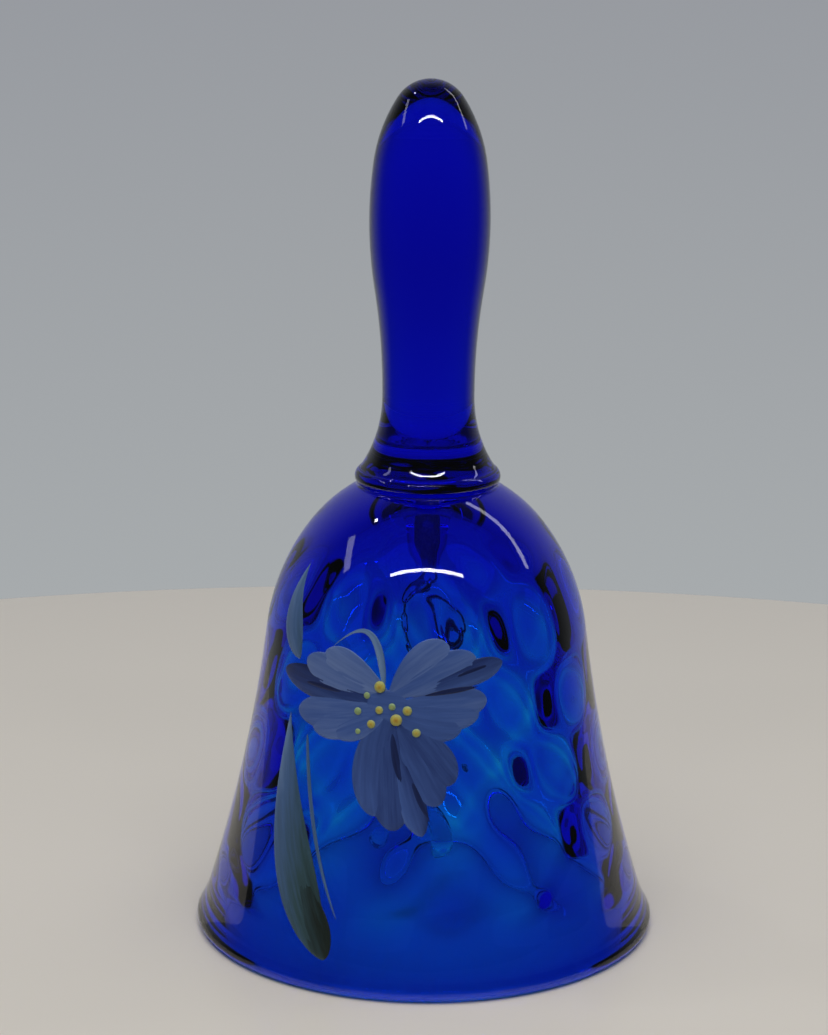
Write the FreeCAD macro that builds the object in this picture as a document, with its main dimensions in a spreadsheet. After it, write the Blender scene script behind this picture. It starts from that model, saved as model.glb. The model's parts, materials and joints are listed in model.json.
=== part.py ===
import FreeCAD, Part

import math
import os

import Sketcher
from FreeCAD import Placement, Rotation, Vector

# A hand bell of glass: a blown cup, a solid handle fused to its crown, and a drop
# clapper that hangs inside on a short chain of wire links.
# Millimetres. +Z is up, and the origin is the centre of the ring that the rim rests on.
# Radii are measured from the bell's axis. Cup heights are measured from the rim,
# handle heights from the handle's foot, and clapper heights from the clapper's tip.
SIZES = {
    # outside of the cup, from the ground ring of the rim up to the foot of the handle
    "rest_outer_radius": 43.25,
    "lip_radius": 44.795,
    "lip_height": 2.571,
    "flare_radius": 42.915,
    "flare_height": 7.0,
    "shoulder_radius": 31.04,
    "shoulder_height": 60.0,
    "crown_radius": 22.89,
    "crown_height": 80.0,
    "foot_radius": 13.2,
    "foot_height": 88.3,
    # socket under the crown that the clapper's eye is cemented into, and the glass nub round it
    "socket_radius": 1.6,
    "socket_top": 83.0,
    "nub_tip_radius": 3.44,
    "nub_tip_height": 74.0,
    "nub_root_radius": 3.9,
    "nub_root_height": 79.94,
    # inside of the cup, from the nub down to the ground ring
    "ceiling_radius": 7.2,
    "ceiling_height": 82.0,
    "dome_radius": 20.2,
    "dome_height": 73.0,
    "wall_radius": 27.6,
    "wall_height": 58.0,
    "inner_flare_radius": 38.75,
    "inner_flare_height": 7.0,
    "inner_lip_radius": 40.33,
    "inner_lip_height": 0.9,
    "rest_inner_radius": 41.5,
    # handle: a bead over the joint, a flared neck, a long grip and a domed top
    "bead_curve": 1.85,
    "bead_top_radius": 12.96,
    "bead_top_height": 3.2,
    "neck_curve": 24.78,
    "waist_radius": 8.82,
    "waist_height": 16.7,
    "swell_radius": 10.41,
    "swell_height": 37.7,
    "grip_radius": 10.66,
    "grip_height": 61.7,
    "brow_radius": 6.19,
    "brow_height": 73.7,
    "handle_length": 77.07,
    # wire, eyes and chain
    "wire_gauge": 0.9,
    "running_gap": 0.1,
    "cement_setback": 0.3,
    "crown_eye_height": 71.3,
    "crown_eye_radius": 2.0,
    "crown_shank_length": 8.7,
    "link_inner_length": 5.0,
    "link_bend_radius": 1.75,
    "bob_eye_radius": 1.6,
    "bob_shank_length": 6.3,
    # glass drop of the clapper
    "bob_length": 22.0,
    "bob_radius": 5.25,
    "bob_slope_radius": 3.0,
    "bob_slope_height": 15.0,
    "bob_neck_radius": 1.45,
    "bob_neck_height": 21.6,
    "bob_top_radius": 1.1,
    "bob_socket_radius": 0.5,
    "bob_socket_floor": 16.5,
    "bob_collar": 1.3,
}
LINK_COUNT = 7
FULL_TURN = 360.0

# Heights that follow from the sizes above, as formulas of the sheet's cells.
# The top wire of each link rides one wire and one running gap above the wire it hangs on.
FIRST_HINGE = "(Sizes.crown_eye_height - Sizes.crown_eye_radius)"
HINGE_STEP = "(Sizes.link_inner_length - Sizes.running_gap)"
LAST_HINGE = f"({FIRST_HINGE} - {LINK_COUNT} * {HINGE_STEP})"
RIDE_HEIGHT = "(Sizes.wire_gauge + Sizes.running_gap)"
LINK_DROP = "((Sizes.link_inner_length + Sizes.wire_gauge) / 2)"
BOB_EYE_HEIGHT = f"({LAST_HINGE} + {RIDE_HEIGHT} - Sizes.bob_eye_radius)"
BOB_TOP = f"({BOB_EYE_HEIGHT} - Sizes.bob_eye_radius - Sizes.bob_collar)"

# Corners of the three turned pieces as (radius, height) names, None for a point on an axis,
# and the edge that leaves each corner for the next.
CUP_CORNERS = [
    ("rest_inner_radius", None),
    ("rest_outer_radius", None),
    ("lip_radius", "lip_height"),
    ("flare_radius", "flare_height"),
    ("shoulder_radius", "shoulder_height"),
    ("crown_radius", "crown_height"),
    ("foot_radius", "foot_height"),
    (None, "foot_height"),
    (None, "socket_top"),
    ("socket_radius", "socket_top"),
    ("socket_radius", "nub_tip_height"),
    ("nub_tip_radius", "nub_tip_height"),
    ("nub_root_radius", "nub_root_height"),
    ("ceiling_radius", "ceiling_height"),
    ("dome_radius", "dome_height"),
    ("wall_radius", "wall_height"),
    ("inner_flare_radius", "inner_flare_height"),
    ("inner_lip_radius", "inner_lip_height"),
]
CUP_EDGES = ["line"] + ["smooth"] * 5 + ["line"] * 6 + ["smooth"] * 6

HANDLE_CORNERS = [
    (None, None),
    ("foot_radius", None),
    ("bead_top_radius", "bead_top_height"),
    ("waist_radius", "waist_height"),
    ("swell_radius", "swell_height"),
    ("grip_radius", "grip_height"),
    ("brow_radius", "brow_height"),
    (None, "handle_length"),
]
HANDLE_EDGES = ["line", ("bead_curve", 1), ("neck_curve", -1)] + ["smooth"] * 3 + ["cap", "line"]

BOB_CORNERS = [
    (None, None),
    ("bob_radius", "bob_radius"),
    ("bob_slope_radius", "bob_slope_height"),
    ("bob_neck_radius", "bob_neck_height"),
    ("bob_top_radius", "bob_length"),
    ("bob_socket_radius", "bob_length"),
    ("bob_socket_radius", "bob_socket_floor"),
    (None, "bob_socket_floor"),
]
BOB_EDGES = ["cap", "smooth", "smooth"] + ["line"] * 5

SKETCH_X_AXIS = -1
SKETCH_Y_AXIS = -2
START = 1
FINISH = 2
CENTRE = 3


def fill_sheet(doc):
    """Spreadsheet with a name, a number and an alias on each row."""
    sheet = doc.addObject("Spreadsheet::Sheet", "Sizes")
    for row, (alias, value) in enumerate(SIZES.items(), start=1):
        sheet.set(f"A{row}", alias)
        sheet.set(f"B{row}", str(value))
        sheet.setAlias(f"B{row}", alias)
    doc.recompute()


def new_body(doc, label):
    body = doc.addObject("PartDesign::Body", label)
    body.Label = label
    return body


def new_sketch(body, name, role):
    """Sketch on the body's own origin plane of that role."""
    sketch = body.newObject("Sketcher::SketchObject", name)
    plane = [item for item in body.Origin.OriginFeatures if item.Role == role][0]
    sketch.AttachmentSupport = (plane, "")
    sketch.MapMode = "FlatFace"
    return sketch


def bind(sketch, kind, operands, formula):
    """Dimension whose value is a formula of the sheet."""
    value = sketch.evalExpression(formula)
    index = sketch.addConstraint(Sketcher.Constraint(kind, *operands, float(value)))
    sketch.setExpression(f"Constraints[{index}]", formula)


def arc_through(start, finish, heading, half_turn):
    """Arc that leaves start on a heading and turns twice half_turn, and its end points' order."""
    radius = (finish - start).Length / 2 / math.sin(half_turn)
    centre = start + Vector(-math.sin(heading), math.cos(heading), 0) * radius
    circle = Part.Circle(centre, Vector(0, 0, 1), abs(radius))
    from_start = math.atan2(start.y - centre.y, start.x - centre.x)
    from_finish = from_start + 2 * half_turn
    if half_turn > 0:
        return Part.ArcOfCircle(circle, from_start, from_finish), (START, FINISH)
    return Part.ArcOfCircle(circle, from_finish, from_start), (FINISH, START)


def cap_radius(start, finish):
    """Radius of the arc from start to finish whose centre is on the sketch's Y axis."""
    centre = (finish.dot(finish) - start.dot(start)) / (2 * (finish.y - start.y))
    return (start - Vector(0, centre, 0)).Length


def draw_outline(sketch, corners, edges):
    """Closed outline. An edge is "line", "smooth" for an arc in line with the edge before
    it, "cap" for an arc centred on the Y axis, or (radius, side) for an arc with its own
    radius, bulging outwards when side is 1."""
    places = [Vector(SIZES.get(across, 0), SIZES.get(up, 0), 0) for across, up in corners]
    ends = []
    heading = 0.0
    for edge, start, finish in zip(edges, places, places[1:] + places[:1]):
        chord = math.atan2(finish.y - start.y, finish.x - start.x)
        if edge == "line":
            sketch.addGeometry(Part.LineSegment(start, finish))
            ends.append((START, FINISH))
            heading = chord
            continue
        half_chord = (finish - start).Length / 2
        if edge == "smooth":
            half_turn = math.remainder(chord - heading, math.tau)
        elif edge == "cap":
            half_turn = math.asin(half_chord / cap_radius(start, finish))
        else:
            radius, side = edge
            half_turn = side * math.asin(half_chord / SIZES[radius])
        arc, order = arc_through(start, finish, chord - half_turn, half_turn)
        sketch.addGeometry(arc)
        ends.append(order)
        heading = chord + half_turn

    for index, (edge, (across, up)) in enumerate(zip(edges, corners)):
        here = (index, ends[index][0])
        before = ((index - 1) % len(edges), ends[index - 1][1])
        joint = "Tangent" if edge == "smooth" else "Coincident"
        sketch.addConstraint(Sketcher.Constraint(joint, *before, *here))
        if across:
            bind(sketch, "DistanceX", (SKETCH_X_AXIS, START, *here), f"Sizes.{across}")
        else:
            sketch.addConstraint(Sketcher.Constraint("PointOnObject", *here, SKETCH_Y_AXIS))
        if up:
            bind(sketch, "DistanceY", (SKETCH_X_AXIS, START, *here), f"Sizes.{up}")
        else:
            sketch.addConstraint(Sketcher.Constraint("PointOnObject", *here, SKETCH_X_AXIS))
        if edge == "cap":
            on_axis = Sketcher.Constraint("PointOnObject", index, CENTRE, SKETCH_Y_AXIS)
            sketch.addConstraint(on_axis)
        elif isinstance(edge, tuple):
            bind(sketch, "Radius", (index,), f"Sizes.{edge[0]}")


def draw_wire_section(sketch, offset=None):
    """Round section of the wire, at the origin or that far out along the sketch's X axis."""
    centre = Vector(SIZES[offset] if offset else 0, 0, 0)
    sketch.addGeometry(Part.Circle(centre, Vector(0, 0, 1), SIZES["wire_gauge"] / 2))
    bind(sketch, "Radius", (0,), "Sizes.wire_gauge / 2")
    sketch.addConstraint(Sketcher.Constraint("PointOnObject", 0, CENTRE, SKETCH_X_AXIS))
    if offset:
        bind(sketch, "DistanceX", (SKETCH_X_AXIS, START, 0, CENTRE), f"Sizes.{offset}")
    else:
        sketch.addConstraint(Sketcher.Constraint("PointOnObject", 0, CENTRE, SKETCH_Y_AXIS))


def draw_link_path(sketch):
    """Centre line of a link's wire: two straight sides joined by half circles."""
    bend = SIZES["link_bend_radius"]
    half_side = (SIZES["link_inner_length"] + SIZES["wire_gauge"]) / 2 - bend
    upper = Part.Circle(Vector(0, half_side, 0), Vector(0, 0, 1), bend)
    lower = Part.Circle(Vector(0, -half_side, 0), Vector(0, 0, 1), bend)
    sketch.addGeometry(Part.LineSegment(Vector(bend, -half_side, 0), Vector(bend, half_side, 0)))
    sketch.addGeometry(Part.ArcOfCircle(upper, 0, math.pi))
    sketch.addGeometry(Part.LineSegment(Vector(-bend, half_side, 0), Vector(-bend, -half_side, 0)))
    sketch.addGeometry(Part.ArcOfCircle(lower, math.pi, math.tau))
    for index in range(4):
        joined = ((index + 1) % 4, START)
        sketch.addConstraint(Sketcher.Constraint("Tangent", index, FINISH, *joined))
    sketch.addConstraint(Sketcher.Constraint("Vertical", 0))
    reach = f"{LINK_DROP} - Sizes.link_bend_radius"
    for arc, ends in ((1, (SKETCH_X_AXIS, START, 1, CENTRE)), (3, (3, CENTRE, SKETCH_X_AXIS, START))):
        sketch.addConstraint(Sketcher.Constraint("PointOnObject", arc, CENTRE, SKETCH_Y_AXIS))
        bind(sketch, "DistanceY", ends, reach)
    bind(sketch, "Radius", (1,), "Sizes.link_bend_radius")


def revolve(body, name, sketch):
    """Full turn about the sketch's own Y axis."""
    turned = body.newObject("PartDesign::Revolution", name)
    turned.Profile = sketch
    turned.ReferenceAxis = (sketch, ["V_Axis"])
    turned.Angle = FULL_TURN
    sketch.Visibility = False


def turned_piece(doc, label, corners, edges):
    """Solid of revolution about Z."""
    body = new_body(doc, label)
    sketch = new_sketch(body, f"{label}_outline", "XZ_Plane")
    draw_outline(sketch, corners, edges)
    revolve(body, f"{label}_turned", sketch)
    return body


def bell_cup(doc):
    """Blown cup with a fire-polished lip, ground flat where it rests."""
    return turned_piece(doc, "bell_cup", CUP_CORNERS, CUP_EDGES)


def handle(doc):
    """Solid glass handle, standing on the crown of the cup."""
    body = turned_piece(doc, "handle", HANDLE_CORNERS, HANDLE_EDGES)
    body.setExpression("Placement.Base.z", "Sizes.foot_height")
    return body


def clapper_bob(doc):
    """Drop of clear glass with a narrow socket for its eye's shank."""
    body = turned_piece(doc, "clapper_bob", BOB_CORNERS, BOB_EDGES)
    body.setExpression("Placement.Base.z", f"{BOB_TOP} - Sizes.bob_length")
    return body


def wire_eye(doc, label, ring_radius, shank_length):
    """Ring of wire in the XZ plane about the body's origin, with a straight shank along +Z."""
    body = new_body(doc, label)
    section = new_sketch(body, f"{label}_ring_section", "XY_Plane")
    draw_wire_section(section, ring_radius)
    revolve(body, f"{label}_ring", section)
    shank_section = new_sketch(body, f"{label}_shank_section", "XY_Plane")
    shank_section.setExpression("AttachmentOffset.Base.z", f"Sizes.{ring_radius}")
    draw_wire_section(shank_section)
    shank = body.newObject("PartDesign::Pad", f"{label}_shank")
    shank.Profile = shank_section
    shank.setExpression("Length", f"Sizes.{shank_length}")
    return body


def crown_eye(doc):
    """Eye cemented into the socket under the crown."""
    body = wire_eye(doc, "crown_eye", "crown_eye_radius", "crown_shank_length")
    body.setExpression("Placement.Base.z", "Sizes.crown_eye_height")
    return body


def bob_eye(doc):
    """Eye in the top of the clapper's drop, with its shank pointing down."""
    body = wire_eye(doc, "bob_eye", "bob_eye_radius", "bob_shank_length")
    body.Placement = Placement(Vector(), Rotation(Vector(1, 0, 0), FULL_TURN / 2))
    body.setExpression("Placement.Base.z", BOB_EYE_HEIGHT)
    return body


def cement_plug(doc):
    """Cement round the crown eye's shank, set back a little from the tip of the nub."""
    filling = doc.addObject("Part::Cylinder", "cement_filling")
    filling.setExpression("Radius", "Sizes.socket_radius")
    filling.setExpression("Height", "Sizes.socket_top - Sizes.nub_tip_height - Sizes.cement_setback")
    filling.setExpression("Placement.Base.z", "Sizes.nub_tip_height + Sizes.cement_setback")
    shank_space = doc.addObject("Part::Cylinder", "cement_shank_space")
    shank_space.setExpression("Radius", "Sizes.wire_gauge / 2")
    shank_space.setExpression("Height", "Sizes.crown_shank_length")
    shank_space.setExpression("Placement.Base.z", "Sizes.crown_eye_height + Sizes.crown_eye_radius")
    plug = doc.addObject("Part::Cut", "cement_plug")
    plug.Label = "cement_plug"
    plug.Base = filling
    plug.Tool = shank_space
    return plug


def chain_link(doc, number):
    """Oval link of bent wire. Odd links lie in the YZ plane and even ones in the XZ plane."""
    body = new_body(doc, f"chain_link_{number}")
    section = new_sketch(body, f"link_{number}_section", "XY_Plane")
    draw_wire_section(section, "link_bend_radius")
    path = new_sketch(body, f"link_{number}_path", "XZ_Plane")
    draw_link_path(path)
    wire = body.newObject("PartDesign::AdditivePipe", f"link_{number}_wire")
    wire.Profile = section
    wire.Spine = path
    quarter_turns = number % 2
    body.Placement = Placement(Vector(), Rotation(Vector(0, 0, 1), quarter_turns * FULL_TURN / 4))
    hinge = f"{FIRST_HINGE} - {number - 1} * {HINGE_STEP}"
    body.setExpression("Placement.Base.z", f"{hinge} + {RIDE_HEIGHT} - {LINK_DROP}")
    return body


def check_pieces(doc, pieces):
    """Stop if a feature failed, or if a piece is not one valid solid."""
    for item in doc.Objects:
        if "Invalid" in item.State or "Error" in item.State:
            raise RuntimeError(f"{item.Name} failed: {item.State}")
    for piece in pieces:
        shape = piece.Shape
        if shape.isNull() or not shape.isValid() or len(shape.Solids) != 1:
            raise RuntimeError(f"{piece.Label} is not one valid solid")


def main():
    doc = FreeCAD.newDocument("glass_bell")
    fill_sheet(doc)
    makers = [bell_cup, handle, cement_plug, crown_eye, bob_eye, clapper_bob]
    pieces = [make(doc) for make in makers]
    pieces += [chain_link(doc, number) for number in range(1, LINK_COUNT + 1)]
    doc.recompute()
    check_pieces(doc, pieces)
    os.makedirs("parts", exist_ok=True)
    for piece in pieces:
        piece.Shape.exportStep(f"parts/{piece.Label}.step")
        box = piece.Shape.optimalBoundingBox(False)
        print(f"{piece.Label}: {piece.Shape.Volume:.2f} mm3, z {box.ZMin:.2f} to {box.ZMax:.2f}")


main()
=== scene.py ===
"""Looks of a glass hand bell: cobalt cup and handle, painted flower, wire chain and glass drop.

Every length is in metres unless its name says otherwise. Heights are measured from the rim,
and angles round the bell from its front, -Y, positive towards +X.
"""

import json
import math

import bpy
import numpy as np
from bpy.props import FloatProperty, FloatVectorProperty, IntProperty, PointerProperty
from mathutils import Matrix, Vector


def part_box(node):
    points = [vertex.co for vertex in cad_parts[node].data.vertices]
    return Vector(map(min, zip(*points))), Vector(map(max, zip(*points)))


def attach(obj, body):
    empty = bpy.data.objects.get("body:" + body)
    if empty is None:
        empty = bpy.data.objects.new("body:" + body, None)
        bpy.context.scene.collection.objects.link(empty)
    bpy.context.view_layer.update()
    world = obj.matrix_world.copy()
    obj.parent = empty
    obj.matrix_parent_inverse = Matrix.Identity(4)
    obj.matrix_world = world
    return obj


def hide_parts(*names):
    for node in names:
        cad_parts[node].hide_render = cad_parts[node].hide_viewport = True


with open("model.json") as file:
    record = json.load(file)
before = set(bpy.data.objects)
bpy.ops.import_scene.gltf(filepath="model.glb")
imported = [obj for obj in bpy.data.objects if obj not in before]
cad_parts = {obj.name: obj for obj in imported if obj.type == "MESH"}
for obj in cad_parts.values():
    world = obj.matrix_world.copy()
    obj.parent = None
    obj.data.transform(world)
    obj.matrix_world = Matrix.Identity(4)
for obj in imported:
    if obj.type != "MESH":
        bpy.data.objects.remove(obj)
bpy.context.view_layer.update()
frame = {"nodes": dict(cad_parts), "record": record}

bl_info = {
    "name": "Glass bell",
    "version": (1, 0, 0),
    "blender": (4, 5, 0),
    "location": "3D View > Sidebar > Bell",
    "description": "Builds the looks of a painted glass hand bell round its packed frame",
    "category": "Object",
}

MM = 0.001
CHAIN_LINKS = sorted(name for name in frame["nodes"] if name.startswith("chain_link_"))
BODY_OF_NODE = {
    node: body for body, nodes in frame["record"]["behaviour"]["bodies"].items() for node in nodes
}

# Outline of the bell's one skin of glass, from the top of the handle down the outside, round
# the lip and up the inside to the socket: radius and height in millimetres, and the turn in
# degrees of the arc that leaves the corner. SMOOTH leaves in line with the edge before it.
SMOOTH = None
STRAIGHT = 0.0
BELL_OUTLINE = [
    (0.0, 165.37, SMOOTH),
    (6.19, 162.0, SMOOTH),
    (10.66, 150.0, SMOOTH),
    (10.41, 126.0, SMOOTH),
    (8.82, 105.0, SMOOTH),
    (12.96, 91.5, -120.3),
    (13.2, 88.3, -24.7),
    (22.89, 80.0, SMOOTH),
    (31.04, 60.0, SMOOTH),
    (42.72, 7.0, SMOOTH),
    (44.74, 2.571, SMOOTH),
    (43.25, 0.0, STRAIGHT),
    (41.5, 0.0, SMOOTH),
    (40.33, 0.9, SMOOTH),
    (38.75, 7.0, SMOOTH),
    (27.6, 58.0, SMOOTH),
    (20.2, 73.0, SMOOTH),
    (7.2, 82.0, SMOOTH),
    (3.9, 79.94, STRAIGHT),
    (3.44, 74.0, STRAIGHT),
    (1.5, 74.0, STRAIGHT),
    (1.5, 82.5, STRAIGHT),
    (0.0, 82.5, SMOOTH),
]
FOOT_EDGE = 6
LIP_EDGE = 10
INNER_WALL_EDGES = (14, 16)

# The optic relief inside the wall starts above the lip and ends below the crown, each over
# its own length. Its drift goes through one radian in OPTIC_DRIFT_LENGTH of height.
OPTIC_START = 8 * MM
OPTIC_START_LENGTH = 6 * MM
OPTIC_END = 78 * MM
OPTIC_END_LENGTH = 8 * MM
OPTIC_DRIFT_LENGTH = 20 * MM

# Outline of the clapper's drop, from its tip up, with heights above the tip.
DROP_OUTLINE = [
    (0.0, 0.0, SMOOTH),
    (5.25, 5.25, SMOOTH),
    (3.0, 15.0, SMOOTH),
    (1.45, 21.6, SMOOTH),
    (1.1, 22.0, STRAIGHT),
    (0.0, 22.0, SMOOTH),
]

# Rows and columns of the turned pieces and of the wire.
ROW_STEP = 1.0 * MM
DROP_ROW_STEP = 0.35 * MM
ROW_TURN = math.radians(6)
DROP_COLUMNS = 96
TABLE_COLUMNS = 256
WIRE_COLUMNS = 20

# A wire's cut end is rounded over this share of its gauge, by this share of its area.
WIRE_END_LENGTH = 0.25
WIRE_END_LOSS = 0.6
LINK_BEND_POINTS = 18
LINK_SIDE_POINTS = 8

# The ring of an eye, in degrees from its top, and the height, in gauges above the ring's
# middle line, at which its shank starts to swing out and at which that bend is pulled.
EYE_RING = (42, 345)
EYE_RING_POINTS = 60
EYE_SWING_START = 1.6
EYE_SWING_CORNER = 0.55
EYE_SHANK_POINTS = 12

# The flower was laid out with degrees round a cup of one radius, and then shifted down.
PAINT_RADIUS = 32 * MM
PAINT_LEVEL = -0.65 * MM

# Strokes: rows and columns, depth of their underside in the glass, lift of each over the
# one before, and the ridges that coarse and fine bristles leave: share of the paint's
# height, and radians of the wave in half a stroke's width.
STROKE_ROWS = 40
STROKE_AROUND = 36
SUNK = 0.03 * MM
LAYER_LIFT = 0.012 * MM
STROKE_DOME = 0.6
STROKE_FULLNESS = 1.6
COARSE_BRISTLES = (0.07, 17.0)
FINE_BRISTLES = (0.05, 31.0)
STREAK_SHIFT = 0.01

# Dots: rows and columns, height of the drop for each mm of its size, height of its edge,
# share of its size that its radius is, and how much lighter its edge is.
DOT_ROWS = 7
DOT_AROUND = 28
DOT_RISE = 0.2 * MM
DOT_BASE = 0.14 * MM
DOT_SPREAD = 0.44
DOT_EDGE_SHADE = 0.5

# Enamel tones, from dark to light, as (place, colour).
PETAL_TONES = [(0.0, "0C123A"), (0.3, "2C4180"), (0.6, "4D6CB4"), (0.9, "7C96CE")]
LEAF_TONES = [(0.0, "1A2622"), (0.3, "38545C"), (0.6, "5072A4"), (0.9, "84A5D2")]
POLLEN_TONES = [(0.25, "C08A34"), (0.5, "D8C45A"), (0.95, "A4BE84")]

# Strokes: start, finish (degrees from the front, mm above the rim), bow, width, belly,
# bluntness (the lower, the blunter), shades.
LEFT_PETALS = [
    ((-21.0, 54.0), (-5.0, 53.8), 0.0, 6.0, 0.50, 0.50, (0.61, 0.57, 0.0)),
    ((-13.0, 54.4), (-57.0, 56.8), 0.2, 5.8, 0.60, 0.55, (0.22, 0.47, -0.08)),
    ((-12.0, 53.4), (-47.0, 50.4), -0.3, 6.6, 0.62, 0.50, (0.65, 0.57, 0.05)),
    ((-12.5, 52.8), (-39.8, 48.2), -0.3, 6.2, 0.62, 0.50, (0.59, 0.71, 0.05)),
    ((-13.0, 52.4), (-31.5, 47.6), -0.2, 5.2, 0.58, 0.55, (0.55, 0.71, 0.0)),
    ((-12.5, 56.0), (-45.6, 60.0), 0.2, 6.2, 0.66, 0.50, (0.65, 0.77, 0.06)),
    ((-12.0, 56.0), (-37.6, 62.0), 0.3, 6.6, 0.66, 0.50, (0.71, 0.83, 0.06)),
    ((-26.0, 55.2), (-46.5, 55.8), 0.3, 1.0, 0.55, 1.0, (0.14, 0.14, 0.0)),
]
RIGHT_PETALS = [
    ((-13.0, 53.8), (20.8, 54.9), 0.0, 6.2, 0.68, 0.50, (0.65, 0.57, 0.0)),
    ((-12.0, 53.4), (17.8, 52.4), 0.3, 6.0, 0.64, 0.50, (0.61, 0.53, 0.05)),
    ((-11.0, 52.8), (11.8, 50.0), 0.8, 5.6, 0.62, 0.50, (0.57, 0.51, 0.0)),
    ((-12.5, 56.0), (7.8, 65.4), -0.7, 6.6, 0.66, 0.50, (0.75, 0.63, 0.02)),
    ((-12.5, 55.4), (17.4, 62.9), -0.3, 6.8, 0.66, 0.50, (0.69, 0.57, 0.04)),
    ((-11.0, 54.8), (27.2, 61.6), -0.4, 4.6, 0.74, 0.60, (0.61, 0.22, 0.0)),
    ((-4.0, 55.6), (18.0, 57.4), -0.3, 1.1, 0.60, 1.0, (0.12, 0.12, 0.0)),
    ((4.0, 57.9), (23.5, 61.4), -0.4, 1.0, 0.65, 1.0, (0.14, 0.12, 0.0)),
]
LOWER_PETALS = [
    ((-13.0, 53.0), (-14.6, 33.6), 1.3, 8.6, 0.60, 0.50, (0.51, 0.39, 0.03)),
    ((-11.5, 52.0), (-9.2, 31.2), 0.2, 8.0, 0.66, 0.50, (0.45, 0.35, 0.0)),
    ((-9.0, 51.6), (8.6, 39.8), -0.4, 7.2, 0.66, 0.50, (0.37, 0.43, 0.0)),
    ((-9.5, 51.0), (4.4, 36.0), 0.0, 6.8, 0.68, 0.50, (0.49, 0.37, 0.04)),
    ((-10.0, 50.0), (-0.6, 30.4), 0.4, 5.2, 0.72, 0.60, (0.65, 0.22, 0.02)),
    ((-10.8, 49.5), (-6.0, 38.0), 0.4, 1.6, 0.45, 1.0, (0.14, 0.18, 0.0)),
    ((-5.0, 42.0), (1.6, 33.0), 0.2, 1.2, 0.55, 1.0, (0.12, 0.12, 0.0)),
]
STEM_STROKES = [
    ((-37.6, 61.6), (-14.2, 57.2), -8.0, 1.5, 0.78, 0.50, (0.92, 0.66, 0.0)),
    ((-41.6, 46.2), (-23.6, 14.2), 1.1, 0.85, 0.35, 0.50, (0.62, 0.52, 0.0)),
]
LEAF_STROKES = [
    ((-58.2, 76.6), (-49.2, 59.6), 2.0, 5.6, 0.64, 0.70, (0.74, 0.60, -0.10)),
    ((-50.8, 49.4), (-25.4, 6.8), 2.9, 9.4, 0.64, 0.62, (0.90, 0.62, -0.62)),
    ((-40.0, 27.0), (-25.2, 7.0), 0.3, 6.0, 0.74, 0.60, (0.30, 0.08, -0.16)),
]
# Dots: degrees from the front, mm above the rim, diameter in mm, shade.
POLLEN_DOTS = [
    (-15.5, 57.3, 2.5, 0.30),
    (-19.9, 55.5, 1.4, 0.75),
    (-22.8, 52.4, 1.6, 0.85),
    (-15.4, 53.0, 1.7, 0.35),
    (-11.1, 53.8, 1.5, 0.70),
    (-6.0, 53.2, 2.0, 0.35),
    (-9.6, 51.4, 2.5, 0.25),
    (-17.9, 50.3, 1.8, 0.30),
    (-22.3, 48.7, 1.2, 0.90),
    (-2.9, 49.2, 1.8, 0.40),
]

# Soft lights, which all face the bell: place and size in metres, power in watts, degrees
# turned about the beam, and whether reflections show it.
LIGHTS = {
    "key_softbox": ((0.0, -0.15, 1.2), (1.4, 0.9), 8.0, 0, False),
    "front_strip": ((0.0, -0.67, 0.87), (1.0, 0.035), 2.4, 0, True),
    "right_strip": ((0.85, 0.38, 0.95), (1.0, 0.08), 0.9, 55, True),
    "left_strip": ((-1.1, 0.0, 0.95), (0.5, 0.12), 0.4, -30, True),
    "left_lamp": ((-0.55, 0.17, 1.0), (0.05, 0.04), 0.2, 0, True),
}
AIM = Vector((0, 0, 70 * MM))

# Stands in for the light that reaches the table under the cup through its tinted wall.
GLOW_PLACE = (0.0, 0.0, 62 * MM)
GLOW_SIZE = (40 * MM, 40 * MM)
GLOW_POWER = 0.011
GLOW_COLOUR = "007CFF"

# The backdrop's colours from its foot up, over these heights of a unit direction, and the
# dim room in front, with the unit directions along Y where the one turns into the other.
BACKDROP_TONES = [(0.0, "A8ACAE"), (1.0, "96999F")]
BACKDROP_RISE = (-0.28, -0.04)
ROOM_COLOUR = "3A3C41"
ROOM_DEPTH = (0.15, 0.93)

TABLE_SHIFT = 68 * MM
TABLE_EDGE = 6 * MM
TABLE_EDGE_POINTS = 13

CAMERA_PLACE = (0.0, -0.52875, 0.2119)
CAMERA_YAW = 0.278
CAMERA_DIP = 13.865
CAMERA_ROLL = 0.44
CAMERA_SENSOR = 36.0
CAMERA_NEAR = 10 * MM


# ---------------------------------------------------------------- surfaces


def outline(corners, step=ROW_STEP):
    """Points along a profile of arcs, and the edge that each point is on.

    A point at share t of an arc that turns by 2h is start + chord * sin(ht) / sin(h),
    turned back by h(1 - t), with radius and height as one complex number.
    """
    places = np.array([complex(radius, height) for radius, height, _ in corners]) * MM
    heading = 0.0
    points, edges = [], []
    for edge, (start, finish) in enumerate(zip(places, places[1:])):
        chord = finish - start
        turn = corners[edge][2]
        if turn is SMOOTH:
            half = math.remainder(np.angle(chord) - heading, math.tau)
        else:
            half = math.radians(turn) / 2
        count = math.ceil(max(abs(chord) / step, abs(2 * half) / ROW_TURN, 1))
        share = np.arange(count) / count
        bow = np.sin(half * share) / math.sin(half) if half else share
        points.append(start + chord * bow * np.exp(1j * half * (share - 1)))
        edges.append(np.full(count, edge))
        heading = np.angle(chord) + half
    points.append(places[-1:])
    edges.append(edges[-1][-1:])
    return np.concatenate(points), np.concatenate(edges)


def outward(profile):
    """Unit normals of a profile, to the left of its direction of travel."""
    along = np.gradient(profile)
    return 1j * along / np.abs(along)


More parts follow.
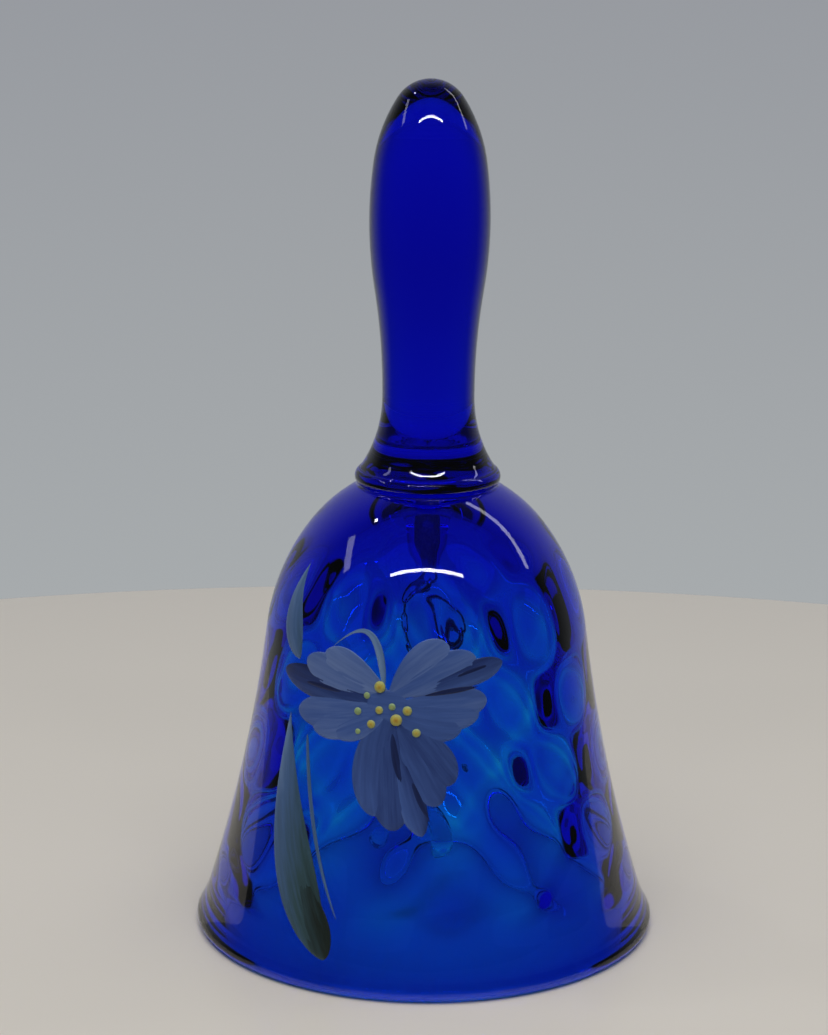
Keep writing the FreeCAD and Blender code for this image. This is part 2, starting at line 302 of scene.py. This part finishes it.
def skin(rings, poles, marks=None):
    """Closed surface over a stack of rings (count, around, 3) with a pole at each end.

    Marks are three values for every point of the rings, carried to the poles as well.
    Its faces point outwards: they are all turned over if its volume comes out negative.
    """
    count, around = rings.shape[:2]
    here = np.arange(count * around).reshape(count, around)
    beside = np.roll(here, -1, axis=1)
    first = np.full(around, count * around)
    quads = np.stack([here[:-1], here[1:], beside[1:], beside[:-1]], axis=-1).reshape(-1, 4)
    opening = np.stack([first, here[0], beside[0]], axis=-1)
    closing = np.stack([here[-1], first + 1, beside[-1]], axis=-1)
    triangles = np.concatenate([opening, closing])
    points = np.concatenate([rings.reshape(-1, 3), np.array(poles)])
    corners = [points[quads[:, n]] for n in range(4)]
    spread = np.cross(corners[1] - corners[0], corners[2] - corners[0])
    if (spread * (corners[0] - points.mean(axis=0))).sum() < 0:
        quads = quads[:, ::-1]
        triangles = triangles[:, ::-1]
    if marks is None:
        marks = np.zeros(rings.shape)
    ends = np.array([marks[0].mean(axis=0), marks[-1].mean(axis=0)])
    return points, quads, triangles, np.concatenate([marks.reshape(-1, 3), ends])


def lathe(profile, around, relief=None):
    """Surface of revolution: a profile carried round Z, moved along its normals by
    relief(angle), and closed at its two ends on the axis."""
    angle = np.arange(around) * math.tau / around
    inner = profile[1:-1, None]
    if relief is not None:
        inner = inner + outward(profile)[1:-1, None] * relief(angle[None, :])
    radius = np.broadcast_to(inner.real, (len(profile) - 2, around))
    height = np.broadcast_to(inner.imag, (len(profile) - 2, around))
    rings = np.stack([radius * np.cos(angle), radius * np.sin(angle), height], axis=-1)
    poles = [(0, 0, profile[0].imag), (0, 0, profile[-1].imag)]
    return skin(rings, poles)


def wire(path, gauge):
    """Round wire along a path (count, 3) that lies in one plane through Z: a circle carried
    along it square to its direction, drawn in over its last points to a rounded end."""
    along = np.gradient(path, axis=0)
    along /= np.linalg.norm(along, axis=1, keepdims=True)
    spread = np.cross(path - path[0], path[len(path) // 3] - path[0])
    sideways = spread[np.abs(spread).sum(axis=1).argmax()]
    sideways = sideways / np.linalg.norm(sideways)
    across = np.cross(along, sideways)
    run = np.concatenate([[0], np.cumsum(np.linalg.norm(np.diff(path, axis=0), axis=1))])
    to_end = np.minimum(run, run[-1] - run) / (WIRE_END_LENGTH * gauge)
    thickness = gauge / 2 * np.sqrt(1 - np.clip(1 - to_end, 0, 1) ** 2 * WIRE_END_LOSS)
    angle = np.arange(WIRE_COLUMNS) * math.tau / WIRE_COLUMNS
    spokes = np.cos(angle)[:, None] * across[:, None] + np.sin(angle)[:, None] * sideways
    rings = path[:, None] + spokes * thickness[:, None, None]
    return skin(rings, [path[0], path[-1]])


def add_piece(name, skins, material, body, replaces=()):
    """One mesh object made of closed skins, riding a body of the frame."""
    starts = np.cumsum([0] + [len(points) for points, *_ in skins])
    points = np.concatenate([part[0] for part in skins])
    quads = np.concatenate([part[1] + start for part, start in zip(skins, starts)])
    triangles = np.concatenate([part[2] + start for part, start in zip(skins, starts)])
    marks = np.concatenate([part[3] for part in skins])
    corners = np.concatenate([quads.ravel(), triangles.ravel()])
    counts = np.concatenate([np.full(len(quads), 4), np.full(len(triangles), 3)])

    mesh = bpy.data.meshes.new(name)
    mesh.vertices.add(len(points))
    mesh.vertices.foreach_set("co", points.ravel())
    mesh.loops.add(len(corners))
    mesh.loops.foreach_set("vertex_index", corners)
    mesh.polygons.add(len(counts))
    mesh.polygons.foreach_set("loop_start", np.cumsum(counts) - counts)
    mesh.polygons.foreach_set("use_smooth", np.ones(len(counts), bool))
    if marks.any():
        layer = mesh.attributes.new("brush", "FLOAT_VECTOR", "POINT")
        layer.data.foreach_set("vector", marks.ravel())
    mesh.update(calc_edges=True)
    mesh.validate()
    mesh.materials.append(material)
    piece = bpy.data.objects.new(name, mesh)
    bpy.context.scene.collection.objects.link(piece)
    if body:
        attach(piece, body)
        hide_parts(*replaces)
    return piece


# ---------------------------------------------------------------- the painted surface

GLASS_PROFILE, GLASS_EDGES = outline(BELL_OUTLINE)
PAINTED = GLASS_PROFILE[(GLASS_EDGES >= FOOT_EDGE) & (GLASS_EDGES < LIP_EDGE)][::-1]
PAINTED_NORMAL = outward(PAINTED) * -1


def on_glass(angle, height, lift):
    """Points on the outside of the cup at an angle from the front and a height, raised
    along the surface's normal."""
    radius = np.interp(height, PAINTED.imag, PAINTED.real)
    out = np.interp(height, PAINTED.imag, PAINTED_NORMAL.real)
    up = np.interp(height, PAINTED.imag, PAINTED_NORMAL.imag)
    radius = radius + lift * out
    return np.stack([radius * np.sin(angle), -radius * np.cos(angle), height + lift * up], axis=-1)


def brush_stroke(start, finish, bow, width, belly, bluntness, shades, layer):
    """One stroke of enamel laid on the glass.

    Start and finish are (angle in degrees, height in mm). The middle of the stroke is bowed
    sideways by bow mm. Its half width at share u is width / 2 * sin(pi * u ** p) ** bluntness,
    with p set so that it is widest at belly. Across it, the paint is a low dome with fine
    bristle ridges, and its underside is sunk just into the glass. Shades are the paint's
    tone on its left side, on its right side, and the amount added towards its finish.
    """
    share = (1 - np.cos(np.linspace(0, math.pi, STROKE_ROWS))) / 2
    start, finish = np.array(start), np.array(finish)
    scale = np.array([math.radians(1) * PAINT_RADIUS / MM, 1.0])
    chord = (finish - start) * scale
    aside = np.array([chord[1], -chord[0]]) / np.hypot(*chord) / scale
    bowed = 4 * bow * share * (1 - share)
    path = start + (finish - start) * share[:, None] + aside * bowed[:, None]
    angle, height = np.radians(path[:, 0]), path[:, 1] * MM + PAINT_LEVEL
    middle = on_glass(angle, height, 0.0)
    along = np.gradient(middle, axis=0)
    run = np.concatenate([[0], np.cumsum(np.linalg.norm(np.diff(middle, axis=0), axis=1))])
    normal = on_glass(angle, height, MM) - middle
    side = np.cross(normal, along)
    side /= np.linalg.norm(side, axis=1, keepdims=True)

    power = math.log(0.5) / math.log(belly)
    swell = np.sin(math.pi * np.clip(share, 1e-6, 1) ** power) ** bluntness
    turn = np.arange(STROKE_AROUND) * math.tau / STROKE_AROUND
    across = -np.cos(turn)
    offset = across * (width * MM / 2 * swell)[:, None]
    place = middle[:, None] + side[:, None] * offset[:, :, None]
    coarse = COARSE_BRISTLES[0] * np.sin(across * COARSE_BRISTLES[1] + layer)
    fine = FINE_BRISTLES[0] * np.sin(across * FINE_BRISTLES[1] - layer)
    bristles = 1 + coarse + fine
    dome = np.where(np.sin(turn) > 0, np.abs(np.sin(turn)) ** STROKE_DOME * bristles, 0.0)
    fullness = np.minimum(swell * STROKE_FULLNESS, 1.0)[:, None]
    paint = bpy.context.scene.bell_enamel.thickness
    lift = dome * paint * fullness - SUNK * (1 - dome.clip(0, 1)) + layer * LAYER_LIFT * fullness
    around = np.arctan2(place[..., 0], -place[..., 1])
    rings = on_glass(around, place[..., 2], lift)
    tone = shades[0] + (shades[1] - shades[0]) * (across + 1) / 2 + shades[2] * share[:, None]
    length = np.broadcast_to(run[:, None], tone.shape)
    marks = np.stack([length, offset + layer * STREAK_SHIFT, tone], axis=-1)
    return skin(rings[1:-1], [rings[0].mean(axis=0), rings[-1].mean(axis=0)], marks[1:-1])


def dot(angle, height, size, shade):
    """Drop of enamel: rings of a low dome, sine out and cosine up, closed beneath."""
    slope = np.linspace(0.06, 1, DOT_ROWS)
    share = np.concatenate([np.sin(slope * math.pi / 2), np.array([0.9, 0.5])])
    lift = np.concatenate([np.cos(slope * math.pi / 2) * DOT_RISE * size, [-SUNK, -SUNK]])
    turn = np.arange(DOT_AROUND) * math.tau / DOT_AROUND
    radius = size * MM * DOT_SPREAD * share[:, None]
    around = math.radians(angle) + radius * np.cos(turn) / PAINT_RADIUS
    level = height * MM + PAINT_LEVEL + radius * np.sin(turn)
    rings = on_glass(around, level, np.broadcast_to(lift[:, None] + DOT_BASE, level.shape))
    middle = np.radians([angle]), np.array([height * MM + PAINT_LEVEL])
    centre = on_glass(*middle, 0.0)[0]
    top = on_glass(*middle, DOT_BASE + DOT_RISE * size)[0]
    tone = np.broadcast_to(shade + DOT_EDGE_SHADE * share[:, None], level.shape)
    outwards = np.broadcast_to(radius, level.shape)
    marks = np.stack([outwards, np.broadcast_to(turn * MM, level.shape), tone], axis=-1)
    return skin(rings, [top, centre], marks)


# ---------------------------------------------------------------- materials


def linear(code):
    """Linear RGBA from an sRGB hex code."""
    shares = [int(code[place : place + 2], 16) / 255 for place in (0, 2, 4)]
    return [v / 12.92 if v <= 0.04045 else ((v + 0.055) / 1.055) ** 2.4 for v in shares] + [1.0]


def add_node(tree, kind, inputs=None, **settings):
    """Adds a node: settings are its properties, inputs its socket values or links."""
    node = tree.nodes.new(kind)
    for name, value in settings.items():
        setattr(node, name, value)
    for name, value in (inputs or {}).items():
        if isinstance(value, bpy.types.NodeSocket):
            tree.links.new(value, node.inputs[name])
        else:
            node.inputs[name].default_value = value
    return node


def new_material(name):
    """Material with an empty node tree and its output node."""
    material = bpy.data.materials.new(name)
    material.use_nodes = True
    tree = material.node_tree
    tree.nodes.clear()
    return material, tree, add_node(tree, "ShaderNodeOutputMaterial")


def set_ramp(ramp, stops):
    """Fills a colour ramp with (place, hex) stops."""
    elements = ramp.color_ramp.elements
    while len(elements) < len(stops):
        elements.new(0.5)
    for element, (place, code) in zip(elements, stops):
        element.position = place
        element.color = linear(code)


def polished_glass(name, wave, detail, strength, depth, colour, density):
    """Clear soda-lime glass with a fire-polished face: no roughness, slow shallow waves in
    the face, and a colour that deepens with the thickness of the glass."""
    material, tree, output = new_material(name)
    place = add_node(tree, "ShaderNodeTexCoord")
    waves = add_node(
        tree,
        "ShaderNodeTexNoise",
        {"Vector": place.outputs["Object"], "Scale": 1 / wave, "Detail": detail},
    )
    bump = add_node(
        tree,
        "ShaderNodeBump",
        {"Height": waves.outputs["Fac"], "Strength": strength, "Distance": depth},
    )
    body = add_node(
        tree,
        "ShaderNodeBsdfPrincipled",
        {
            "Base Color": linear("FFFFFF"),
            "Roughness": 0.0,
            "IOR": 1.52,
            "Transmission Weight": 1.0,
            "Normal": bump.outputs["Normal"],
        },
    )
    tint = add_node(
        tree, "ShaderNodeVolumeAbsorption", {"Color": (*colour, 1.0), "Density": density}
    )
    tree.links.new(body.outputs["BSDF"], output.inputs["Surface"])
    tree.links.new(tint.outputs["Volume"], output.inputs["Volume"])
    return material


def cobalt_glass():
    """Soda-lime glass melted with cobalt oxide, blown into an optic mould and fire-polished:
    mid blue where it is thin, ink blue where it is thick or seen edge on."""
    settings = bpy.context.scene.bell_glass
    return polished_glass(
        "cobalt_glass", 14 * MM, 1.5, 0.35, 0.12 * MM, settings.tint, settings.tint_strength
    )


def clear_glass():
    """Clear soda-lime glass drawn into a drop and fire-polished: a trace of green."""
    return polished_glass(
        "clear_glass", 5 * MM, 1.0, 0.3, 0.05 * MM, linear("E7FAF6")[:3], 12.0
    )


def enamel(name, stops):
    """Opaque vitreous enamel, brushed on in strokes and fired: a satin gloss over paint that
    keeps the bristles' streaks, so its tone runs along the stroke and varies across it."""
    material, tree, output = new_material(name)
    brush = add_node(tree, "ShaderNodeAttribute", attribute_name="brush")
    split = add_node(tree, "ShaderNodeSeparateXYZ", {"Vector": brush.outputs["Vector"]})
    stretch = add_node(
        tree,
        "ShaderNodeMapping",
        {"Vector": brush.outputs["Vector"], "Scale": (1 / (12 * MM), 1 / (1.0 * MM), 0.0)},
    )
    streaks = add_node(
        tree,
        "ShaderNodeTexNoise",
        {"Vector": stretch.outputs["Vector"], "Scale": 1.0, "Detail": 3.0, "Roughness": 0.6},
    )
    spread = add_node(
        tree,
        "ShaderNodeMapRange",
        {
            "Value": streaks.outputs["Fac"],
            "From Min": 0.25,
            "From Max": 0.75,
            "To Min": -0.1,
            "To Max": 0.1,
        },
    )
    tone = add_node(tree, "ShaderNodeMath", operation="ADD")
    tree.links.new(split.outputs["Z"], tone.inputs[0])
    tree.links.new(spread.outputs["Result"], tone.inputs[1])
    ramp = add_node(tree, "ShaderNodeValToRGB", {"Fac": tone.outputs["Value"]})
    set_ramp(ramp, stops)
    bump = add_node(
        tree,
        "ShaderNodeBump",
        {"Height": streaks.outputs["Fac"], "Strength": 0.5, "Distance": 0.06 * MM},
    )
    body = add_node(
        tree,
        "ShaderNodeBsdfPrincipled",
        {
            "Base Color": ramp.outputs["Color"],
            "Roughness": 0.42,
            "IOR": 1.5,
            "Normal": bump.outputs["Normal"],
        },
    )
    tree.links.new(body.outputs["BSDF"], output.inputs["Surface"])
    return material


def steel_wire():
    """Bright drawn steel wire, cut and bent cold: a thin brown-grey film in patches where
    handling has dulled it, rougher where the film lies."""
    material, tree, output = new_material("drawn_steel_wire")
    place = add_node(tree, "ShaderNodeTexCoord")
    film = add_node(
        tree,
        "ShaderNodeTexNoise",
        {"Vector": place.outputs["Object"], "Scale": 1 / (1.6 * MM), "Detail": 3.0},
    )
    ramp = add_node(tree, "ShaderNodeValToRGB", {"Fac": film.outputs["Fac"]})
    set_ramp(ramp, [(0.35, "8F8A82"), (0.6, "C9C8C5")])
    polish = add_node(
        tree,
        "ShaderNodeMapRange",
        {
            "Value": film.outputs["Fac"],
            "From Min": 0.3,
            "From Max": 0.7,
            "To Min": 0.38,
            "To Max": 0.18,
        },
    )
    body = add_node(
        tree,
        "ShaderNodeBsdfPrincipled",
        {
            "Base Color": ramp.outputs["Color"],
            "Metallic": 1.0,
            "Roughness": polish.outputs["Result"],
        },
    )
    tree.links.new(body.outputs["BSDF"], output.inputs["Surface"])
    return material


def white_cement():
    """White mineral cement, set in its socket: matt, off-white and finely grained."""
    material, tree, output = new_material("white_cement")
    place = add_node(tree, "ShaderNodeTexCoord")
    grain = add_node(
        tree,
        "ShaderNodeTexNoise",
        {"Vector": place.outputs["Object"], "Scale": 1 / (0.3 * MM), "Detail": 4.0},
    )
    ramp = add_node(tree, "ShaderNodeValToRGB", {"Fac": grain.outputs["Fac"]})
    set_ramp(ramp, [(0.3, "A9A499"), (0.7, "D3CFC4")])
    bump = add_node(
        tree,
        "ShaderNodeBump",
        {"Height": grain.outputs["Fac"], "Strength": 0.6, "Distance": 0.05 * MM},
    )
    body = add_node(
        tree,
        "ShaderNodeBsdfPrincipled",
        {"Base Color": ramp.outputs["Color"], "Roughness": 0.85, "Normal": bump.outputs["Normal"]},
    )
    tree.links.new(body.outputs["BSDF"], output.inputs["Surface"])
    return material


def table_laminate():
    """Cream laminate with a satin face, so that the bell has a faint reflection in it."""
    settings = bpy.context.scene.bell_stage
    material, tree, output = new_material("cream_laminate")
    body = add_node(
        tree,
        "ShaderNodeBsdfPrincipled",
        {"Base Color": (*settings.table_colour, 1.0), "Roughness": 0.32, "IOR": 1.45},
    )
    tree.links.new(body.outputs["BSDF"], output.inputs["Surface"])
    return material


# ---------------------------------------------------------------- settings


class BellGlassSettings(bpy.types.PropertyGroup):
    tint: FloatVectorProperty(
        name="Tint",
        description="Colour that the glass lets through",
        size=3,
        subtype="COLOR",
        min=0,
        max=1,
        default=linear("00E4FE")[:3],
    )
    tint_strength: FloatProperty(
        name="Tint strength",
        description="Absorption of the glass, per metre",
        default=1400.0,
        min=0,
    )
    optic_count: IntProperty(
        name="Diamonds round",
        description="Diamonds of the optic pattern in one turn",
        default=10,
        min=3,
    )
    optic_pitch: FloatProperty(
        name="Diamond height", description="Height of one diamond", default=28 * MM, unit="LENGTH"
    )
    optic_depth: FloatProperty(
        name="Diamond depth",
        description="Relief inside the wall",
        default=1.3 * MM,
        unit="LENGTH",
    )
    optic_phase: FloatProperty(
        name="Diamond phase",
        description="Where the pattern starts, up the bell",
        default=3.8,
        subtype="ANGLE",
    )
    optic_turn: FloatProperty(
        name="Diamond turn",
        description="Where the pattern starts, round the bell",
        default=2.2,
        subtype="ANGLE",
    )
    optic_drift: FloatProperty(
        name="Drift",
        description="How far the pattern wanders, as blown glass does",
        default=0.6,
        subtype="ANGLE",
    )
    around: IntProperty(
        name="Columns", description="Columns of the glass mesh", default=256, min=32
    )


class BellEnamelSettings(bpy.types.PropertyGroup):
    thickness: FloatProperty(
        name="Paint thickness",
        description="Height of a stroke above the glass",
        default=0.14 * MM,
        unit="LENGTH",
    )


class BellChainSettings(bpy.types.PropertyGroup):
    seam: FloatProperty(
        name="Seam",
        description="Gap where a link's wire ends meet",
        default=0.06 * MM,
        unit="LENGTH",
    )


class BellStageSettings(bpy.types.PropertyGroup):
    table_colour: FloatVectorProperty(
        name="Table",
        description="Colour of the table top",
        size=3,
        subtype="COLOR",
        min=0,
        max=1,
        default=linear("EBE4D8")[:3],
    )
    table_width: FloatProperty(
        name="Table width", description="Width of the oval table", default=0.54, unit="LENGTH"
    )
    table_depth: FloatProperty(
        name="Table depth", description="Depth of the oval table", default=0.36, unit="LENGTH"
    )
    lens: FloatProperty(
        name="Lens", description="Focal length of the camera", default=98.3, unit="CAMERA"
    )


# ---------------------------------------------------------------- operators


class BELL_OT_blow_glass(bpy.types.Operator):
    """Cup and handle as one closed skin of cobalt glass with a diamond optic inside"""

    bl_idname = "bell.blow_glass"
    bl_label = "Blow the glass"

    def execute(self, context):
        settings = context.scene.bell_glass
        height = GLASS_PROFILE.imag[1:-1, None]
        first, last = INNER_WALL_EDGES
        inside = ((GLASS_EDGES >= first) & (GLASS_EDGES <= last))[1:-1, None]
        rising = np.clip((height - OPTIC_START) / OPTIC_START_LENGTH, 0, 1)
        falling = np.clip((OPTIC_END - height) / OPTIC_END_LENGTH, 0, 1)
        fade = rising * falling

        def relief(angle):
            """Thick and thin spots in a diamond lattice: the product of a wave round the
            bell and a wave up it, both drifting a little, faded out near the lip and crown."""
            drift = settings.optic_drift * np.sin(2 * angle + height / OPTIC_DRIFT_LENGTH)
            round_it = np.cos(settings.optic_count * angle + settings.optic_turn + drift)
            up_it = np.cos(
                math.tau * height / settings.optic_pitch + settings.optic_phase + drift
            )
            return inside * fade * settings.optic_depth * (round_it * up_it)

        bell = lathe(GLASS_PROFILE, settings.around, relief)
        nodes = ["bell_cup", "handle"]
        add_piece("bell_glass", [bell], cobalt_glass(), "bell", nodes)
        return {"FINISHED"}


class BELL_OT_paint_flower(bpy.types.Operator):
    """Flower, stems, leaves and pollen dots in raised enamel on the front of the cup"""

    bl_idname = "bell.paint_flower"
    bl_label = "Paint the flower"

    def execute(self, context):
        petal = enamel("petal_enamel", PETAL_TONES)
        leaf = enamel("leaf_enamel", LEAF_TONES)
        pollen = enamel("pollen_enamel", POLLEN_TONES)
        painted = [
            ("leaves", LEAF_STROKES, leaf),
            ("stems", STEM_STROKES, leaf),
            ("petals_left", LEFT_PETALS, petal),
            ("petals_lower", LOWER_PETALS, petal),
            ("petals_right", RIGHT_PETALS, petal),
        ]
        for name, strokes, material in painted:
            skins = [brush_stroke(*stroke, layer) for layer, stroke in enumerate(strokes)]
            add_piece(name, skins, material, "bell")
        dots = [dot(*place) for place in POLLEN_DOTS]
        add_piece("pollen_dots", dots, pollen, "bell")
        return {"FINISHED"}


class BELL_OT_hang_chain(bpy.types.Operator):
    """Oval wire links and the two wire eyes, each with the seam where its wire ends meet"""

    bl_idname = "bell.hang_chain"
    bl_label = "Hang the chain"

    def execute(self, context):
        seam = context.scene.bell_chain.seam
        steel = steel_wire()
        for name in CHAIN_LINKS:
            shape = link(*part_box(name), seam)
            add_piece(name + "_wire", [shape], steel, BODY_OF_NODE[name], [name])
        for name in ("crown_eye", "bob_eye"):
            shape = eye(*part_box(name), name == "bob_eye")
            add_piece(name + "_wire", [shape], steel, BODY_OF_NODE[name], [name])
        return {"FINISHED"}


def link(low, high, seam):
    """Oval link that fills a box, as one closed line in the complex plane: two straight
    sides and two half circles, with the wire's ends meeting halfway up one side."""
    size = high - low
    gauge = min(size.x, size.y)
    width = max(size.x, size.y) - gauge
    bend = width / 2
    side = size.z - gauge - width
    middle = (low + high) / 2
    turn = np.linspace(0, math.pi, LINK_BEND_POINTS + 1)[1:]
    loop = np.concatenate(
        [
            bend + 1j * np.linspace(seam, side, LINK_SIDE_POINTS) / 2,
            0.5j * side + bend * np.exp(1j * turn),
            -bend + 1j * np.linspace(side, -side, 2 * LINK_SIDE_POINTS)[1:] / 2,
            -0.5j * side - bend * np.exp(1j * turn),
            bend - 1j * np.linspace(side, seam, LINK_SIDE_POINTS)[1:] / 2,
        ]
    )
    path = np.zeros((len(loop), 3))
    path[:, 0 if size.x > size.y else 1] = loop.real
    path[:, 2] = loop.imag
    return wire(path + np.array(middle), gauge)


def eye(low, high, upside_down):
    """Eye of bent wire that fills a box: a straight shank, a quadratic curve that swings it
    out to one side, and a ring, which is an arc of a circle that closes on the shank."""
    size = high - low
    gauge = size.y
    ring = (size.x - gauge) / 2
    shank = size.z - ring * 2 - gauge / 2
    swing = np.radians(np.linspace(*EYE_RING, EYE_RING_POINTS))
    bend = np.linspace(0, 1, EYE_SHANK_POINTS)[:-1]
    start = np.array([0.0, ring + gauge * EYE_SWING_START])
    corner = np.array([0.0, ring + gauge * EYE_SWING_CORNER])
    target = ring * np.array([math.sin(swing[0]), math.cos(swing[0])])
    weights = np.stack([(1 - bend) ** 2, 2 * bend * (1 - bend), bend**2], axis=-1)
    curve = weights @ np.stack([start, corner, target])
    straight = np.linspace(ring + shank, start[1], EYE_SHANK_POINTS)[:-1]
    across = np.concatenate([np.zeros(len(straight)), curve[:, 0], ring * np.sin(swing)])
    upward = np.concatenate([straight, curve[:, 1], ring * np.cos(swing)])
    path = np.stack([across, np.zeros(len(across)), upward], axis=-1)
    if upside_down:
        path[:, 2] *= -1
        centre = high.z - gauge / 2 - ring
    else:
        centre = low.z + gauge / 2 + ring
    return wire(path + np.array([0, 0, centre]), gauge)


class BELL_OT_hang_drop(bpy.types.Operator):
    """Clear glass drop of the clapper, round its eye's shank"""

    bl_idname = "bell.hang_drop"
    bl_label = "Hang the glass drop"

    def execute(self, context):
        low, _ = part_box("clapper_bob")
        profile, _ = outline(DROP_OUTLINE, DROP_ROW_STEP)
        drop = lathe(profile + 1j * low.z, DROP_COLUMNS)
        add_piece("clapper_drop", [drop], clear_glass(), "clapper", ["clapper_bob"])
        return {"FINISHED"}


class BELL_OT_set_cement(bpy.types.Operator):
    """Cement that holds the crown eye in its socket"""

    bl_idname = "bell.set_cement"
    bl_label = "Set the cement"

    def execute(self, context):
        cement = white_cement()
        for place in frame["nodes"]["cement_plug"].material_slots:
            place.material = cement
        return {"FINISHED"}


class BELL_OT_set_stage(bpy.types.Operator):
    """Oval pale table, soft light, backdrop and camera"""

    bl_idname = "bell.set_stage"
    bl_label = "Set the stage"

    def execute(self, context):
        settings = context.scene.bell_stage
        turn = np.linspace(math.pi / 2, -math.pi / 2, TABLE_EDGE_POINTS)
        round_edge = TABLE_EDGE * (np.cos(turn) + 1j * (np.sin(turn) - 1))
        rim = settings.table_depth / 2 + round_edge
        profile = np.concatenate([[0j], rim, [-2j * TABLE_EDGE]])
        top = lathe(profile, TABLE_COLUMNS)
        table = add_piece("table", [top], table_laminate(), None)
        oval = Matrix.Diagonal((settings.table_width / settings.table_depth, 1, 1, 1))
        table.data.transform(Matrix.Translation((0, TABLE_SHIFT, 0)) @ oval)
        for name, (place, size, power, spin, in_reflections) in LIGHTS.items():
            light = add_light(name, place, size, power)
            facing = (AIM - Vector(place)).to_track_quat("-Z", "Y").to_matrix().to_4x4()
            turned = Matrix.Rotation(math.radians(spin), 4, "Z")
            light.matrix_world = Matrix.Translation(place) @ facing @ turned
            light.visible_glossy = in_reflections
        glow = add_light("inner_glow", GLOW_PLACE, GLOW_SIZE, GLOW_POWER)
        glow.data.color = linear(GLOW_COLOUR)[:3]
        glow.visible_camera = False
        glow.visible_glossy = False
        glow.visible_transmission = False
        set_world(context.scene)
        set_camera(context.scene, settings.lens)
        context.scene.view_settings.view_transform = "Standard"
        return {"FINISHED"}


def add_light(name, place, size, power):
    """Rectangular soft light at a place, shining straight down."""
    lamp = bpy.data.lights.new(name, "AREA")
    lamp.shape = "RECTANGLE"
    lamp.size, lamp.size_y = size
    lamp.energy = power
    light = bpy.data.objects.new(name, lamp)
    bpy.context.scene.collection.objects.link(light)
    light.matrix_world = Matrix.Translation(place)
    return light


def set_world(scene):
    """Backdrop: pale behind the bell and dim on the side that the camera is on."""
    world = bpy.data.worlds.new("backdrop")
    scene.world = world
    world.use_nodes = True
    tree = world.node_tree
    tree.nodes.clear()
    place = add_node(tree, "ShaderNodeTexCoord")
    split = add_node(tree, "ShaderNodeSeparateXYZ", {"Vector": place.outputs["Generated"]})
    depth = add_node(
        tree,
        "ShaderNodeMapRange",
        {"Value": split.outputs["Y"], "From Min": ROOM_DEPTH[0], "From Max": ROOM_DEPTH[1]},
        interpolation_type="SMOOTHSTEP",
    )
    rise = add_node(
        tree,
        "ShaderNodeMapRange",
        {"Value": split.outputs["Z"], "From Min": BACKDROP_RISE[0], "From Max": BACKDROP_RISE[1]},
    )
    sky = add_node(tree, "ShaderNodeValToRGB", {"Fac": rise.outputs["Result"]})
    set_ramp(sky, BACKDROP_TONES)
    room = add_node(tree, "ShaderNodeMix", {"Factor": depth.outputs["Result"]}, data_type="RGBA")
    near, far = room.inputs[6], room.inputs[7]
    near.default_value = linear(ROOM_COLOUR)
    tree.links.new(sky.outputs["Color"], far)
    surface = add_node(tree, "ShaderNodeBackground", {"Color": room.outputs[2], "Strength": 1.0})
    output = add_node(tree, "ShaderNodeOutputWorld")
    tree.links.new(surface.outputs["Background"], output.inputs["Surface"])


def set_camera(scene, lens):
    """Camera in front of the bell and a little above it."""
    optics = bpy.data.cameras.new("camera")
    optics.lens = lens
    optics.sensor_width = CAMERA_SENSOR
    optics.clip_start = CAMERA_NEAR
    camera = bpy.data.objects.new("camera", optics)
    scene.collection.objects.link(camera)
    yaw = Matrix.Rotation(math.radians(CAMERA_YAW), 4, "Z")
    pitch = Matrix.Rotation(math.radians(90 - CAMERA_DIP), 4, "X")
    roll = Matrix.Rotation(math.radians(CAMERA_ROLL), 4, "Z")
    camera.matrix_world = Matrix.Translation(CAMERA_PLACE) @ yaw @ pitch @ roll
    scene.camera = camera


class BELL_PT_panel(bpy.types.Panel):
    """Settings and steps of the glass bell"""

    bl_idname = "BELL_PT_panel"
    bl_label = "Glass bell"
    bl_space_type = "VIEW_3D"
    bl_region_type = "UI"
    bl_category = "Bell"

    def draw(self, context):
        for group in ("bell_glass", "bell_enamel", "bell_chain", "bell_stage"):
            settings = getattr(context.scene, group)
            box = self.layout.box()
            for name in settings.__annotations__:
                box.prop(settings, name)
        for step in STEPS:
            self.layout.operator(step.bl_idname)


STEPS = (
    BELL_OT_set_stage,
    BELL_OT_blow_glass,
    BELL_OT_paint_flower,
    BELL_OT_set_cement,
    BELL_OT_hang_chain,
    BELL_OT_hang_drop,
)
GROUPS = {
    "bell_glass": BellGlassSettings,
    "bell_enamel": BellEnamelSettings,
    "bell_chain": BellChainSettings,
    "bell_stage": BellStageSettings,
}


def register():
    for group in (*GROUPS.values(), *STEPS, BELL_PT_panel):
        bpy.utils.register_class(group)
    for name, group in GROUPS.items():
        setattr(bpy.types.Scene, name, PointerProperty(type=group))


def unregister():
    for name in GROUPS:
        delattr(bpy.types.Scene, name)
    for group in (BELL_PT_panel, *reversed(STEPS), *GROUPS.values()):
        bpy.utils.unregister_class(group)


def main():
    register()
    bpy.ops.bell.set_stage()
    bpy.ops.bell.blow_glass()
    bpy.ops.bell.paint_flower()
    bpy.ops.bell.set_cement()
    bpy.ops.bell.hang_chain()
    bpy.ops.bell.hang_drop()


if __name__ == "__main__":
    main()
